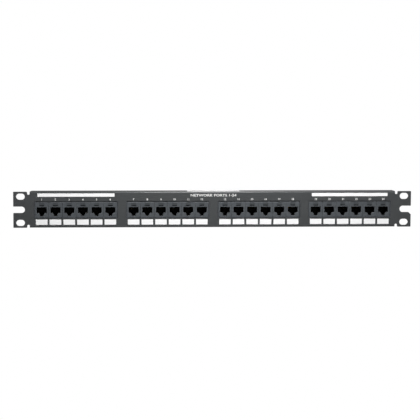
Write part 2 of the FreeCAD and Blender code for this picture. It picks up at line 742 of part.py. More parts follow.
def in_ports(pieces, ports):
    """Copies of one jack's pieces, at each of these ports."""
    return [moved(piece, PORT_X[port]) for port in ports for piece in pieces]


def in_blocks(pieces, module_x):
    """Copies of one punch-down block's pieces, at each block of a module."""
    return [moved(piece, module_x + x, 0, z) for x, z in BLOCK_PLACES for piece in pieces]


def nodes():
    """Every node's name and the solids that it holds."""
    found = {
        "front_panel": [front_panel()],
        "port_labels": port_labels(),
        "group_labels": group_labels(),
        "flange_label": flange_label(),
        "wiring_labels": wiring_labels(),
        "standoffs": [],
        "module_screws": [],
    }
    frame, housing, carrier = bezel(), jack_housing(), contact_carrier()
    leads, board, block, forks = jack_leads(), circuit_board(), idc_block(), block_forks()
    post, screw, arm = standoff(), module_screw(), spring_contact()
    arms = [moved(arm, x) for x in CONTACT_X]
    for module, x in enumerate(MODULE_X):
        ports = range(module * PORTS, (module + 1) * PORTS)
        number = module + 1
        found[f"module_bezel_{number}"] = [moved(frame, x)]
        found[f"jack_housings_{number}"] = in_ports([housing], ports)
        found[f"contact_carriers_{number}"] = in_ports([carrier], ports)
        found[f"contact_leads_{number}"] = in_ports(leads, ports)
        found[f"circuit_board_{number}"] = [moved(board, x)]
        found[f"idc_blocks_{number}"] = in_blocks([block], x)
        found[f"idc_forks_{number}"] = in_blocks(forks, x)
        found["standoffs"] += [moved(post, x + sx, 0, sz) for sx, sz in SCREW_PLACES]
        found["module_screws"] += [moved(screw, x + sx, 0, sz) for sx, sz in SCREW_PLACES]
    for port in range(len(PORT_X)):
        found[f"spring_contacts_{port + 1:02d}"] = in_ports(arms, [port])
    return found


def main():
    os.makedirs("parts", exist_ok=True)
    for name, solids in nodes().items():
        shape = solids[0] if len(solids) == 1 else Part.makeCompound(solids)
        shape.exportStep(f"parts/{name}.step")


main()
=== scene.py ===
"""Finishes, printing and studio for a 24-port rack patch panel.

Everything is in metres, in the panel's own frame: +X right, +Y to the rear, +Z up, with the
origin at the centre of the rack holes on the rear face of the ears.
"""

import json
import math

import bpy
from bpy.props import FloatProperty, FloatVectorProperty, PointerProperty, StringProperty
from mathutils import Matrix, Vector


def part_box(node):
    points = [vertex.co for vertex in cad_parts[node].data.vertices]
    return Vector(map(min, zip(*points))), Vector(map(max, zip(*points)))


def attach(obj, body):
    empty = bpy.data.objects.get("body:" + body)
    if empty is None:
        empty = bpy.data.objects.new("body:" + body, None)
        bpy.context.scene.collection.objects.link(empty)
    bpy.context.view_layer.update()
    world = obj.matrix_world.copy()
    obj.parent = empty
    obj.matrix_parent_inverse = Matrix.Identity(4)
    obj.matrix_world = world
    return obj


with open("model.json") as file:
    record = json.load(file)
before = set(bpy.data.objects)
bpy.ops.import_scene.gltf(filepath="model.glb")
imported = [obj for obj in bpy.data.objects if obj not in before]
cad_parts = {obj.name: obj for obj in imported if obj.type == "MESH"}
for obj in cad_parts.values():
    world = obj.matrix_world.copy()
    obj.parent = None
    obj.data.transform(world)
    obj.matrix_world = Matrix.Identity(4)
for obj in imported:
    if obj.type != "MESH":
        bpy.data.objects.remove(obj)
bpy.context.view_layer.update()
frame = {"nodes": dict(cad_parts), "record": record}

bl_info = {
    "name": "Rack patch panel finishes",
    "version": (1, 0, 0),
    "blender": (4, 5, 0),
    "location": "View3D > Sidebar > Patch panel",
    "description": "Finishes, printing, solder and a studio for a rack patch panel",
    "category": "Object",
}

MM = 0.001
ROOT = "root"

# ---- Places read from the frame ----

MOUNTS = {mount["name"]: Vector(mount["pos_m"]) for mount in frame["record"]["mounts"]}
PORTS = [MOUNTS[name] for name in sorted(MOUNTS) if name.startswith("port_")]
MODULES = [MOUNTS[name] for name in sorted(MOUNTS) if name.startswith("punch_down_")]
MODULE_NUMBERS = range(1, len(MODULES) + 1)
PORTS_PER_MODULE = len(PORTS) // len(MODULES)
MODULE_PITCH = MODULES[1].x - MODULES[0].x
PORT_PITCH = PORTS[1].x - PORTS[0].x

PANEL_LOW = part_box("front_panel")[0]
BOARD_LOW, BOARD_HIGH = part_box("circuit_board_1")
BLOCK_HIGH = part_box("idc_blocks_1")[1]
STRIP_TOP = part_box("wiring_labels")[1].z
GROUP_LOW, GROUP_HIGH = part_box("group_labels")
HOUSING_LOW, HOUSING_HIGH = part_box("jack_housings_1")

# ---- Layout of one jack and one punch-down block ----

CONTACTS = 8
CONTACT_PITCH = 1.016 * MM
LEAD_ROW = 1.27 * MM
SLOT_PITCH = 3.81 * MM
BLOCKS_PER_ROW = 3
BLOCK_PITCH = 30.98 * MM
BLOCK_HEIGHT = 9.5 * MM
ROW_Z = BLOCK_HIGH.z - BLOCK_HEIGHT / 2
STRIP_HEIGHT = 2.2 * MM

# The textured face of a jack ends here; past it, over the fade, the bore gets a painted shade, a
# dark colour standing in for the shade inside the opening
FACE_EDGE = HOUSING_LOW.y + 0.15 * MM
FACE_FADE = 0.30 * MM
BORE_SHADE_REACH = 6.1 * MM

# The printing on the front: the numbers stand this far over the jacks, and the title this far
# under the middle of the group labels
NUMBER_RISE = 2.75 * MM
TITLE_DROP = 0.5 * MM

# How much the outlines of the letters are thickened, as a share of the font's size
NUMBER_WEIGHT = 0.025
TITLE_WEIGHT = 0.022
LEGEND_WEIGHT = 0.01
LEGEND_HEIGHT = 2.0 * MM

# A track runs straight from its lead, slants, and runs straight into its slot
TRACK_START = 0.9 * MM
TRACK_END = 0.1 * MM
TRACK_IN_LINE = 0.05 * MM  # a lead and a slot closer than this need no slant

SOLDER_SIDES = 14
WELD_DISTANCE = 1e-6
EDGE_ANGLE = 30  # degrees; flatter edges are not rounded
FASTENER_EDGE = 0.08 * MM

# The colour blocks of the wiring print reach this share of a slot and of the strip's height
PRINT_REACH = 0.42
PRINT_RISE = 0.36

WEAVE_SCALE = 340.0
DUST_COLOUR = (0.35, 0.34, 0.32, 1.0)
WHITE = (1.0, 1.0, 1.0, 1.0)
WORN_GAIN = 2.2  # a worn moulding is this many times lighter
WHOLE_PITCHES = 100  # added before a remainder is taken, so that the number is positive
MIX_SHARE, MIX_FIRST, MIX_SECOND, MIX_RESULT = 0, 6, 7, 2  # a colour mix's sockets by number

# The studio: softboxes by name, place, aim, size and watts
SOFTBOXES = (
    ("overhead_softbox", (0.02, -0.27, 0.46), (0, 0, 0), (0.38, 0.22), 6.05),
    ("right_softbox", (1.3, -1.3, 1.2), (0.1, 0, 0), (1.0, 1.0), 5.00),
    ("rear_softbox", (0.3, 0.7, 1.4), (0, 0.1, 0), (1.2, 0.5), 1.88),
    ("low_rear_softbox", (0.4, 1.2, -0.18), (0, 0, 0), (1.2, 0.30), 6.88),
)
SKY_RISE, SKY_BASE = 0.0125, 0.002
FLOOR_HALF = 6.0
CAMERA_AIM = Vector((-4.19 * MM, PANEL_LOW.y, -0.78 * MM))
SENSOR_WIDTH = 36.0
FAR_LIMIT = 50.0


def centred(count, pitch):
    """Places of a row of count things about zero, pitch apart."""
    return [(i - (count - 1) / 2) * pitch for i in range(count)]


LEAD_PLACES = [
    (x, LEAD_ROW if i % 2 else -LEAD_ROW)
    for i, x in enumerate(centred(CONTACTS, CONTACT_PITCH))
]
SLOT_PLACES = [
    block + slot
    for block in centred(BLOCKS_PER_ROW, BLOCK_PITCH)
    for slot in centred(CONTACTS, SLOT_PITCH)
]


# ---- Settings that a user would change ----

def colour_setting(name, description, default):
    return FloatVectorProperty(
        name=name, description=description, default=default,
        subtype="COLOR", size=3, min=0.0, max=1.0,
    )


def length_setting(name, description, default):
    return FloatProperty(
        name=name, description=description, default=default, unit="LENGTH", min=0.0, precision=5
    )


def share_setting(name, description, default):
    return FloatProperty(
        name=name, description=description, default=default, subtype="FACTOR", min=0.0, max=1.0
    )


class SteelSettings(bpy.types.PropertyGroup):
    """The powder coat on the folded steel panel"""

    colour: colour_setting("Coat", "Colour of the powder coat", (0.0600, 0.0632, 0.0650))
    worn: colour_setting(
        "Worn edge", "Colour where handling has polished an edge", (0.1283, 0.131, 0.1323)
    )
    roughness: share_setting("Roughness", "Roughness of the coat", 0.30)
    grain_size: length_setting("Grain size", "Distance between the coat's bumps", 0.00042)
    grain_depth: length_setting("Grain depth", "Height of the coat's bumps", 0.000014)
    edge_round: length_setting(
        "Edge round", "Radius that the coat leaves on the sheet's edges", 0.00014
    )


class MouldingSettings(bpy.types.PropertyGroup):
    """The moulded plastic of bezels, jacks, carriers and punch-down blocks"""

    jack_colour: colour_setting(
        "Jacks", "Colour of the jack housings", (0.0700, 0.0770, 0.0845)
    )
    bezel_colour: colour_setting("Bezels", "Colour of the bezels", (0.056, 0.06, 0.0656))
    # Painted shade: the dark colour given inside the jack bores, where the openings lie in shade
    bore_colour: colour_setting("Bores", "Colour inside the jacks", (0.009, 0.009, 0.0095))
    carrier_colour: colour_setting(
        "Carriers", "Colour of the contact carriers", (0.006, 0.006, 0.0065)
    )
    block_colour: colour_setting(
        "Blocks", "Colour of the punch-down blocks", (0.034, 0.035, 0.0365)
    )
    roughness: share_setting("Roughness", "Roughness of the moulded skin", 0.42)
    grain_size: length_setting("Grain size", "Distance between the spark-eroded pits", 0.00022)
    grain_depth: length_setting("Grain depth", "Depth of the spark-eroded pits", 0.000008)
    edge_round: length_setting("Edge round", "Radius on the moulded edges", 0.00008)


class ContactSettings(bpy.types.PropertyGroup):
    """The plated contacts, forks and fasteners"""

    gold: colour_setting("Gold", "Colour of the gold plating", (0.86, 0.62, 0.25))
    tin: colour_setting("Tin", "Colour of the tin plating", (0.66, 0.65, 0.62))
    zinc: colour_setting("Zinc", "Colour of the zinc plating", (0.60, 0.62, 0.64))
    solder: colour_setting("Solder", "Colour of the solder", (0.72, 0.72, 0.71))


class BoardSettings(bpy.types.PropertyGroup):
    """The circuit boards"""

    mask: colour_setting(
        "Mask", "Colour of the solder mask over bare laminate", (0.014, 0.120, 0.043)
    )
    track: colour_setting(
        "Track", "Colour of the solder mask over copper", (0.030, 0.210, 0.072)
    )
    laminate: colour_setting("Laminate", "Colour of the cut edge", (0.27, 0.26, 0.15))
    track_width: length_setting("Track width", "Width of a copper track", 0.0004)
    track_height: length_setting("Track height", "Height of copper and mask", 0.00004)
    pad_radius: length_setting("Pad radius", "Radius of a lead's pad", 0.0006)


class PrintSettings(bpy.types.PropertyGroup):
    """The printing and the labels"""

    ink: colour_setting("Ink", "Colour of the printing on the panel", (0.74, 0.74, 0.73))
    film: colour_setting("Label film", "Colour of the write-on labels", (0.88, 0.88, 0.88))
    number_height: length_setting("Number height", "Height of the port numbers", 0.00235)
    title_height: length_setting("Title height", "Height of the title's capitals", 0.0030)
    title_width: length_setting("Title width", "Width of the whole title", 0.0555)
    title: StringProperty(
        name="Title", description="Title over the middle", default="NETWORK PORTS 1-24"
    )
    ink_depth: length_setting("Ink thickness", "Thickness of the printed ink", 0.00003)


class StudioSettings(bpy.types.PropertyGroup):
    """The camera, lights and floor"""

    distance: length_setting("Distance", "From the camera to the panel", 2.0)
    turn: FloatProperty(
        name="Turn", description="Turn of the camera towards the left ear",
        default=math.radians(3.5), subtype="ANGLE",
    )
    rise: FloatProperty(
        name="Rise", description="Height of the camera as an angle",
        default=math.radians(6.5), subtype="ANGLE",
    )
    roll: FloatProperty(
        name="Roll", description="Roll of the camera",
        default=math.radians(-0.25), subtype="ANGLE",
    )
    lens: FloatProperty(
        name="Lens", description="Focal length in millimetres", default=141.5, min=1.0
    )
    floor_drop: length_setting("Floor drop", "From the panel down to the floor", 0.40)
    floor_colour: colour_setting("Floor", "Colour of the floor", (0.93, 0.93, 0.93))


class PanelSettings(bpy.types.PropertyGroup):
    """All settings of the patch panel"""

    steel: PointerProperty(type=SteelSettings)
    moulding: PointerProperty(type=MouldingSettings)
    contacts: PointerProperty(type=ContactSettings)
    boards: PointerProperty(type=BoardSettings)
    printing: PointerProperty(type=PrintSettings)
    studio: PointerProperty(type=StudioSettings)


# ---- Node helpers ----

def add(tree, kind, sockets=None, **settings):
    """A new node, with its settings, and its inputs set by name or number."""
    node = tree.nodes.new(kind)
    for name, value in settings.items():
        setattr(node, name, value)
    for name, value in (sockets or {}).items():
        if isinstance(value, bpy.types.NodeSocket):
            tree.links.new(value, node.inputs[name])
        else:
            node.inputs[name].default_value = value
    return node


def sum_of(tree, operation, first, second, third=None, clamp=False):
    """The output of a maths node."""
    sockets = {0: first, 1: second}
    if third is not None:
        sockets[2] = third
    node = add(tree, "ShaderNodeMath", sockets, operation=operation, use_clamp=clamp)
    return node.outputs[0]


def blended(tree, share, first, second):
    """The output of a colour mix."""
    node = add(tree, "ShaderNodeMix", data_type="RGBA")
    for number, value in ((MIX_SHARE, share), (MIX_FIRST, first), (MIX_SECOND, second)):
        socket = node.inputs[number]
        if isinstance(value, bpy.types.NodeSocket):
            tree.links.new(value, socket)
        else:
            socket.default_value = value
    return node.outputs[MIX_RESULT]


def opaque(colour):
    """A colour with full cover."""
    return (*colour, 1.0)


def effect(name, inputs, outputs, build):
    """A shared node group, built the first time that a material asks for it."""
    if name in bpy.data.node_groups:
        return bpy.data.node_groups[name]
    tree = bpy.data.node_groups.new(name, "ShaderNodeTree")
    for label, kind, default in inputs:
        tree.interface.new_socket(label, in_out="INPUT", socket_type=kind).default_value = default
    for label, kind in outputs:
        tree.interface.new_socket(label, in_out="OUTPUT", socket_type=kind)
    entry = tree.nodes.new("NodeGroupInput")
    result = build(tree, entry.outputs)
    end = tree.nodes.new("NodeGroupOutput")
    for label, _ in outputs:
        tree.links.new(result[label], end.inputs[label])
    return tree


def place(tree, group, sockets):
    """A shared effect placed in a material with its own values."""
    return add(tree, "ShaderNodeGroup", sockets, node_tree=group).outputs


def noise(tree, position, size, detail=2.0, roughness=0.5):
    """A noise whose bumps are about size apart."""
    scale = sum_of(tree, "DIVIDE", 1.0, size)
    return add(
        tree, "ShaderNodeTexNoise",
        {"Vector": position, "Scale": scale, "Detail": detail, "Roughness": roughness},
    ).outputs["Fac"]


def surface_position(tree):
    """The place on the piece, in the panel's own frame."""
    return add(tree, "ShaderNodeTexCoord").outputs["Object"]


# ---- Shared effects ----

FLOAT, COLOUR = "NodeSocketFloat", "NodeSocketColor"


def grain():
    """Close bumps of a coat or of a spark-eroded mould, as a height."""
    def build(tree, given):
        position = surface_position(tree)
        coarse = noise(tree, position, given["Size"], 1.0)
        small = sum_of(tree, "MULTIPLY", given["Size"], 0.37)
        fine = noise(tree, position, small, 1.0)
        share = sum_of(tree, "MULTIPLY", fine, given["Fine"])
        return {"Height": sum_of(tree, "ADD", coarse, share)}

    return effect(
        "grain", [("Size", FLOAT, 0.0004), ("Fine", FLOAT, 0.4)], [("Height", FLOAT)], build
    )


def colour_drift():
    """A colour that is a little lighter in some places than in others."""
    def build(tree, given):
        spread = noise(tree, surface_position(tree), given["Size"], 3.0, 0.6)
        swing = sum_of(tree, "MULTIPLY_ADD", spread, 2.0, -1.0)
        level = sum_of(tree, "MULTIPLY_ADD", swing, given["Amount"], 1.0)
        tinted = add(
            tree, "ShaderNodeVectorMath", {0: given["Colour"], 1: level}, operation="MULTIPLY"
        )
        return {"Colour": tinted.outputs[0]}

    inputs = [
        ("Colour", COLOUR, (0.5, 0.5, 0.5, 1.0)), ("Size", FLOAT, 0.02), ("Amount", FLOAT, 0.1),
    ]
    return effect("colour_drift", inputs, [("Colour", COLOUR)], build)


def value_drift():
    """A number that wanders about its middle, for roughness."""
    def build(tree, given):
        spread = noise(tree, surface_position(tree), given["Size"], 3.0, 0.6)
        swing = sum_of(tree, "MULTIPLY_ADD", spread, 2.0, -1.0)
        value = sum_of(
            tree, "MULTIPLY_ADD", swing, given["Amount"], given["Value"], clamp=True
        )
        return {"Value": value}

    inputs = [("Value", FLOAT, 0.5), ("Size", FLOAT, 0.01), ("Amount", FLOAT, 0.1)]
    return effect("value_drift", inputs, [("Value", FLOAT)], build)


def edge_wear():
    """A mask that is high on convex edges, broken up so that the wear is patchy."""
    def build(tree, given):
        rounded = add(tree, "ShaderNodeBevel", {"Radius": given["Radius"]}, samples=6).outputs[0]
        true = add(tree, "ShaderNodeNewGeometry").outputs["Normal"]
        facing = add(
            tree, "ShaderNodeVectorMath", {0: rounded, 1: true}, operation="DOT_PRODUCT"
        )
        turned = sum_of(tree, "SUBTRACT", 1.0, facing.outputs["Value"])
        patches = noise(tree, surface_position(tree), given["Patch"], 3.0, 0.7)
        strong = sum_of(tree, "MULTIPLY", turned, given["Strength"])
        return {"Mask": sum_of(tree, "MULTIPLY", strong, patches, clamp=True)}

    inputs = [("Radius", FLOAT, 0.0003), ("Strength", FLOAT, 4.0), ("Patch", FLOAT, 0.004)]
    return effect("edge_wear", inputs, [("Mask", FLOAT)], build)


def settled_dust():
    """A thin dust on what faces up, as a mask."""
    def build(tree, given):
        normal = add(tree, "ShaderNodeTexCoord").outputs["Normal"]
        up = add(tree, "ShaderNodeSeparateXYZ", {0: normal}).outputs["Z"]
        flat = sum_of(tree, "POWER", sum_of(tree, "MAXIMUM", up, 0.0), 3.0)
        specks = noise(tree, surface_position(tree), given["Size"], 4.0, 0.7)
        amount = sum_of(tree, "MULTIPLY", flat, given["Amount"])
        return {"Mask": sum_of(tree, "MULTIPLY", amount, specks, clamp=True)}

    return effect(
        "settled_dust", [("Size", FLOAT, 0.0015), ("Amount", FLOAT, 0.3)], [("Mask", FLOAT)], build
    )


def drawn_lines():
    """Fine lines left by drawing or stamping, long in one direction, as a height."""
    def build(tree, given):
        stretched = add(
            tree, "ShaderNodeVectorMath",
            {0: surface_position(tree), 1: given["Stretch"]}, operation="MULTIPLY",
        ).outputs[0]
        return {"Height": noise(tree, stretched, given["Size"], 3.0, 0.6)}

    inputs = [("Size", FLOAT, 0.00006), ("Stretch", "NodeSocketVector", (1.0, 1.0, 1.0))]
    return effect("drawn_lines", inputs, [("Height", FLOAT)], build)


# ---- Materials ----

def finish(name):
    """A new material and its principled shader."""
    material = bpy.data.materials.new(name)
    material.use_nodes = True
    return material, material.node_tree, material.node_tree.nodes["Principled BSDF"]


def bumped(tree, shader, height, depth):
    """Gives a shader a bump of this depth."""
    bump = add(tree, "ShaderNodeBump", {"Height": height, "Distance": depth, "Strength": 1.0})
    tree.links.new(bump.outputs[0], shader.inputs["Normal"])


def wrapped(tree, value, pitch):
    """value brought to within half a pitch of zero."""
    shifted = sum_of(tree, "ADD", value, (WHOLE_PITCHES + 0.5) * pitch)
    return sum_of(tree, "SUBTRACT", sum_of(tree, "MODULO", shifted, pitch), 0.5 * pitch)


def powder_coat(steel):
    """Powder coat: fine grain, worn a little at the edges, with a thin dust on top."""
    material, tree, shader = finish("powder_coat_steel")
    drift = place(
        tree, colour_drift(), {"Colour": opaque(steel.colour), "Size": 0.03, "Amount": 0.10}
    )
    wear = place(tree, edge_wear(), {"Radius": 0.00035, "Strength": 3.0, "Patch": 0.005})
    worn = blended(tree, wear["Mask"], drift["Colour"], opaque(steel.worn))
    dust = place(tree, settled_dust(), {"Size": 0.0012, "Amount": 0.10})
    dusty = blended(tree, dust["Mask"], worn, DUST_COLOUR)
    rough = place(
        tree, value_drift(), {"Value": steel.roughness, "Size": 0.012, "Amount": 0.06}
    )
    height = place(tree, grain(), {"Size": steel.grain_size, "Fine": 0.35})
    tree.links.new(dusty, shader.inputs["Base Color"])
    tree.links.new(rough["Value"], shader.inputs["Roughness"])
    bumped(tree, shader, height["Height"], steel.grain_depth)
    return material


def moulded(name, colour, moulding, gloss=0.0, bore_shade=None):
    """Moulded plastic. gloss lowers the roughness for the smoother mouldings.

    The last argument is a painted shade: the dark colour of surfaces that lie deeper than the
    textured face of a jack, standing in for the shade inside its bore.
    """
    material, tree, shader = finish(name)
    drift = place(
        tree, colour_drift(), {"Colour": opaque(colour), "Size": 0.012, "Amount": 0.08}
    )
    pale = opaque([min(1.0, WORN_GAIN * c) for c in colour])
    wear = place(tree, edge_wear(), {"Radius": 0.00018, "Strength": 2.0, "Patch": 0.002})
    worn = blended(tree, wear["Mask"], drift["Colour"], pale)
    # Painted shade: surfaces deeper than the jack's face and within reach of a port get the dark
    # bore colour, for the shade inside the opening
    if bore_shade:
        position = add(tree, "ShaderNodeSeparateXYZ", {0: surface_position(tree)}).outputs
        past = sum_of(tree, "SUBTRACT", position["Y"], FACE_EDGE)
        depth_shade = sum_of(tree, "MULTIPLY", past, 1.0 / FACE_FADE, clamp=True)
        in_module = wrapped(
            tree, sum_of(tree, "ADD", position["X"], MODULE_PITCH / 2), MODULE_PITCH
        )
        in_port = wrapped(tree, sum_of(tree, "ADD", in_module, PORT_PITCH / 2), PORT_PITCH)
        near = sum_of(tree, "LESS_THAN", sum_of(tree, "ABSOLUTE", in_port, 0.0), BORE_SHADE_REACH)
        worn = blended(tree, sum_of(tree, "MULTIPLY", depth_shade, near), worn, opaque(bore_shade))
    rough = place(
        tree, value_drift(), {"Value": moulding.roughness - gloss, "Size": 0.006, "Amount": 0.05}
    )
    height = place(tree, grain(), {"Size": moulding.grain_size, "Fine": 0.6})
    tree.links.new(worn, shader.inputs["Base Color"])
    tree.links.new(rough["Value"], shader.inputs["Roughness"])
    bumped(tree, shader, height["Height"], moulding.grain_depth)
    return material


def plated(name, colour, roughness, stretch, depth):
    """Plated metal with drawing lines and cloudy plating."""
    material, tree, shader = finish(name)
    shader.inputs["Metallic"].default_value = 1.0
    drift = place(
        tree, colour_drift(), {"Colour": opaque(colour), "Size": 0.0018, "Amount": 0.10}
    )
    rough = place(tree, value_drift(), {"Value": roughness, "Size": 0.0012, "Amount": 0.10})
    lines = place(tree, drawn_lines(), {"Size": 0.00006, "Stretch": stretch})
    tree.links.new(drift["Colour"], shader.inputs["Base Color"])
    tree.links.new(rough["Value"], shader.inputs["Roughness"])
    bumped(tree, shader, lines["Height"], depth)
    return material


def label_film(printing):
    """White write-on film: matt, faintly mottled, a little grey with handling."""
    material, tree, shader = finish("label_film")
    drift = place(
        tree, colour_drift(), {"Colour": opaque(printing.film), "Size": 0.004, "Amount": 0.02}
    )
    rough = place(tree, value_drift(), {"Value": 0.55, "Size": 0.003, "Amount": 0.08})
    height = place(tree, grain(), {"Size": 0.00012, "Fine": 0.8})
    tree.links.new(drift["Colour"], shader.inputs["Base Color"])
    tree.links.new(rough["Value"], shader.inputs["Roughness"])
    bumped(tree, shader, height["Height"], 0.000003)
    return material


WIRE_COLOURS = [
    (0.05, 0.16, 0.55), (0.55, 0.66, 0.86), (0.86, 0.30, 0.03), (0.93, 0.72, 0.52),
    (0.03, 0.36, 0.10), (0.56, 0.80, 0.58), (0.22, 0.09, 0.03), (0.62, 0.50, 0.40),
]


def wiring_print():
    """Colour-code film: one block of colour beside each slot, between white margins."""
    material, tree, shader = finish("wiring_print")
    across = add(tree, "ShaderNodeSeparateXYZ", {0: surface_position(tree)}).outputs
    in_module = wrapped(tree, sum_of(tree, "ADD", across["X"], MODULE_PITCH / 2), MODULE_PITCH)
    in_block = wrapped(tree, in_module, BLOCK_PITCH)
    along = sum_of(tree, "MULTIPLY_ADD", in_block, 1.0 / (CONTACTS * SLOT_PITCH), 0.5)
    ramp = add(tree, "ShaderNodeValToRGB", {"Fac": along})
    ramp.color_ramp.interpolation = "CONSTANT"
    stops = ramp.color_ramp.elements
    stops[0].color = opaque(WIRE_COLOURS[0])
    stops.remove(stops[1])
    for i, colour in enumerate(WIRE_COLOURS[1:], 1):
        stops.new(i / CONTACTS).color = opaque(colour)
    in_slot = wrapped(tree, sum_of(tree, "ADD", in_block, SLOT_PITCH / 2), SLOT_PITCH)
    from_slot = sum_of(tree, "ABSOLUTE", in_slot, 0.0)
    near_slot = sum_of(tree, "LESS_THAN", from_slot, PRINT_REACH * SLOT_PITCH)
    middle = STRIP_TOP - STRIP_HEIGHT / 2
    offset = sum_of(tree, "SUBTRACT", sum_of(tree, "ABSOLUTE", across["Z"], 0.0), middle)
    from_middle = sum_of(tree, "ABSOLUTE", offset, 0.0)
    inside = sum_of(tree, "LESS_THAN", from_middle, PRINT_RISE * STRIP_HEIGHT)
    printed = sum_of(tree, "MULTIPLY", near_slot, inside)
    film = place(
        tree, colour_drift(), {"Colour": (0.82, 0.82, 0.80, 1.0), "Size": 0.004, "Amount": 0.03}
    )
    colour = blended(tree, printed, film["Colour"], ramp.outputs["Color"])
    tree.links.new(colour, shader.inputs["Base Color"])
    rough = place(tree, value_drift(), {"Value": 0.40, "Size": 0.003, "Amount": 0.06})
    tree.links.new(rough["Value"], shader.inputs["Roughness"])
    return material


def board_laminate(boards):
    """Green mask on the faces of the board and bare woven laminate on its cut edges."""
    material, tree, shader = finish("board_laminate")
    position = surface_position(tree)
    normal = add(tree, "ShaderNodeTexCoord").outputs["Normal"]
    facing = add(tree, "ShaderNodeSeparateXYZ", {0: normal}).outputs["Y"]
    on_face = sum_of(tree, "GREATER_THAN", sum_of(tree, "ABSOLUTE", facing, 0.0), 0.5)
    mask = place(
        tree, colour_drift(), {"Colour": opaque(boards.mask), "Size": 0.006, "Amount": 0.12}
    )
    edge = place(
        tree, colour_drift(), {"Colour": opaque(boards.laminate), "Size": 0.0006, "Amount": 0.3}
    )
    colour = blended(tree, on_face, edge["Colour"], mask["Colour"])
    weave, cross = (
        add(
            tree, "ShaderNodeTexWave",
            {"Vector": position, "Scale": WEAVE_SCALE, "Distortion": 1.5, "Detail": 1.0},
            wave_type="BANDS", bands_direction=direction,
        ).outputs["Fac"]
        for direction in ("X", "Z")
    )
    rough = place(tree, value_drift(), {"Value": 0.34, "Size": 0.004, "Amount": 0.05})
    tree.links.new(colour, shader.inputs["Base Color"])
    tree.links.new(rough["Value"], shader.inputs["Roughness"])
    tree.links.new(on_face, shader.inputs["Coat Weight"])
    shader.inputs["Coat Roughness"].default_value = 0.18
    bumped(tree, shader, sum_of(tree, "MULTIPLY", weave, cross), 0.000006)
    return material


def masked_copper(boards):
    """Copper under the green mask."""
    material, tree, shader = finish("mask_over_copper")
    drift = place(
        tree, colour_drift(), {"Colour": opaque(boards.track), "Size": 0.002, "Amount": 0.10}
    )
    rough = place(tree, value_drift(), {"Value": 0.30, "Size": 0.002, "Amount": 0.05})
    tree.links.new(drift["Colour"], shader.inputs["Base Color"])
    tree.links.new(rough["Value"], shader.inputs["Roughness"])
    shader.inputs["Coat Weight"].default_value = 0.6
    shader.inputs["Coat Roughness"].default_value = 0.16
    return material


def printed_ink(name, colour):
    """Screen-printed ink: nearly even, with slightly thin places."""
    material, tree, shader = finish(name)
    drift = place(
        tree, colour_drift(), {"Colour": opaque(colour), "Size": 0.0007, "Amount": 0.05}
    )
    rough = place(tree, value_drift(), {"Value": 0.50, "Size": 0.001, "Amount": 0.08})
    tree.links.new(drift["Colour"], shader.inputs["Base Color"])
    tree.links.new(rough["Value"], shader.inputs["Roughness"])
    return material


def studio_floor(studio):
    """A pale floor that the camera sees evenly lit, as a lit sweep is."""
    material, tree, shader = finish("studio_floor")
    drift = place(
        tree, colour_drift(), {"Colour": opaque(studio.floor_colour), "Size": 0.5, "Amount": 0.01}
    )
    tree.links.new(drift["Colour"], shader.inputs["Base Color"])
    shader.inputs["Roughness"].default_value = 0.8
    glow = add(tree, "ShaderNodeEmission", {"Color": WHITE, "Strength": 1.0})
    seen = add(tree, "ShaderNodeLightPath").outputs["Is Camera Ray"]
    surface = add(
        tree, "ShaderNodeMixShader", {0: seen, 1: shader.outputs[0], 2: glow.outputs[0]}
    )
    tree.links.new(surface.outputs[0], tree.nodes["Material Output"].inputs["Surface"])
    return material


# ---- Mesh helpers ----

def dress(node, material):
    """Gives a CAD node its material."""
    piece = frame["nodes"][node]
    piece.data.materials.clear()
    piece.data.materials.append(material)
    return piece


def soften(node, radius):
    """Rounds the sharp edges of a CAD node, as its finish does on the real piece."""
    piece = frame["nodes"][node]
    weld = piece.modifiers.new("weld", "WELD")
    weld.merge_threshold = WELD_DISTANCE
    bevel = piece.modifiers.new("edge_round", "BEVEL")
    bevel.width = radius
    bevel.segments = 2
    bevel.limit_method = "ANGLE"
    bevel.angle_limit = math.radians(EDGE_ANGLE)
    bevel.harden_normals = True


def family(stem):
    """The nodes of one kind, such as jack_housings_1 to jack_housings_4."""
    return [f"{stem}_{number}" for number in MODULE_NUMBERS]


def add_piece(name, vertices, faces, material, smooth=False):
    """A mesh that rides on the panel's own body."""
    mesh = bpy.data.meshes.new(name)
    mesh.from_pydata([tuple(v) for v in vertices], [], faces)
    mesh.validate()
    mesh.update()
    mesh.materials.append(material)
    mesh.polygons.foreach_set("use_smooth", [smooth] * len(mesh.polygons))
    piece = bpy.data.objects.new(name, mesh)
    bpy.context.scene.collection.objects.link(piece)
    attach(piece, ROOT)
    return piece


